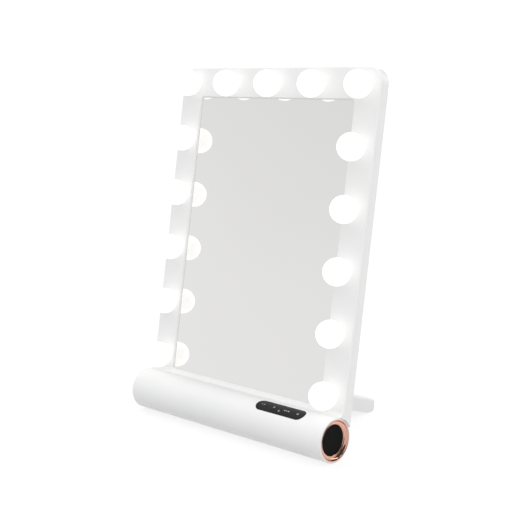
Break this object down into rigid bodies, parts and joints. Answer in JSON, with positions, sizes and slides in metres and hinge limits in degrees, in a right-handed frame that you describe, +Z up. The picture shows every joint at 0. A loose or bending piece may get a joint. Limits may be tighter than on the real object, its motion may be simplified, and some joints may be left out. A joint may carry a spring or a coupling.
{
  "type": "lighted vanity mirror",
  "caption": "Upright rectangular mirror in a white frame lined with globe bulbs, on a round speaker tube base with a folding rear stand.",
  "frame": {"origin": "on the table, at the centre of the footprint of the whole mirror with its stand out", "axes": "+Z up, +X to the right of someone facing the glass, +Y towards the back where the stand reaches"},
  "size_m": [0.406, 0.272, 0.5465],
  "materials": {
    "white_gloss": "smooth glossy white moulding",
    "white_satin": "fine satin white moulding",
    "mirror": "silvered glass, polished",
    "frosted_globe": "frosted and lit from inside",
    "led_light": "lit diode",
    "rose_gold": "polished rose gold plate",
    "black_grille": "satin black perforated sheet",
    "black_gloss": "piano black lens",
    "dark_plastic": "black moulding",
    "rubber": "dark soft rubber",
    "pale_rubber": "pale soft rubber",
    "foam": "white adhesive foam",
    "paper_cone": "black pressed pulp",
    "circuit_board": "green solder mask",
    "steel": "plated steel"
  },
  "bodies": {
    "mirror": {"amplifier_heatsink": "dark_plastic", "back_cover": "white_satin", "baffle_left": "dark_plastic", "baffle_right": "dark_plastic", "bulb_globe_01": "frosted_globe", "bulb_globe_02": "frosted_globe", "bulb_globe_03": "frosted_globe", "bulb_globe_04": "frosted_globe", "bulb_globe_05": "frosted_globe", "bulb_globe_06": "frosted_globe", "bulb_globe_07": "frosted_globe", "bulb_globe_08": "frosted_globe", "bulb_globe_09": "frosted_globe", "bulb_globe_10": "frosted_globe", "bulb_globe_11": "frosted_globe", "bulb_globe_12": "frosted_globe", "bulb_globe_13": "frosted_globe", "bulb_globe_14": "frosted_globe", "bulb_globe_15": "frosted_globe", "bulb_retainers": "white_satin", "capacitors": "dark_plastic", "cover_screws": "steel", "driver_basket_left": "dark_plastic", "driver_basket_right": "dark_plastic", "driver_magnet_left": "steel", "driver_magnet_right": "steel", "driver_surround_left": "rubber", "driver_surround_right": "rubber", "foot_pad_left": "pale_rubber", "foot_pad_right": "pale_rubber", "front_frame": "white_gloss", "glass_adhesive_pad": "foam", "grille_left": "black_grille", "grille_right": "black_grille", "hinge_bracket_left": "white_satin", "hinge_bracket_right": "white_satin", "hinge_pin_left": "steel", "hinge_pin_right": "steel", "hinge_screws": "steel", "led_board_left": "circuit_board", "led_board_right": "circuit_board", "led_board_top": "circuit_board", "led_chips": "led_light", "main_board": "circuit_board", "main_board_screws": "steel", "mirror_glass": "mirror", "power_inlet": "dark_plastic", "radio_module": "steel", "speaker_tube_front": "white_gloss", "speaker_tube_rear": "white_gloss", "touch_board": "circuit_board", "touch_strip": "black_gloss", "trim_ring_left": "rose_gold", "trim_ring_right": "rose_gold"},
    "stand": {"stand_leg": "white_gloss", "stand_cover": "white_satin", "stand_foot_pad": "pale_rubber"},
    "cone_left": {"driver_cone_left": "paper_cone"},
    "cone_right": {"driver_cone_right": "paper_cone"}
  },
  "joints": [
    {"name": "stand_fold", "type": "hinge", "parent": "mirror", "child": "stand", "pos_m": [0, -0.05828, 0.07233], "axis": [1, 0, 0], "range_deg": [0, 99]},
    {"name": "cone_left_travel", "type": "slide", "parent": "mirror", "child": "cone_left", "axis": [-1, 0, 0], "range_m": [-0.0012, 0.0012], "stiffness_N_per_m": 800},
    {"name": "cone_right_travel", "type": "slide", "parent": "mirror", "child": "cone_right", "axis": [1, 0, 0], "range_m": [-0.0012, 0.0012], "stiffness_N_per_m": 800}
  ]
}
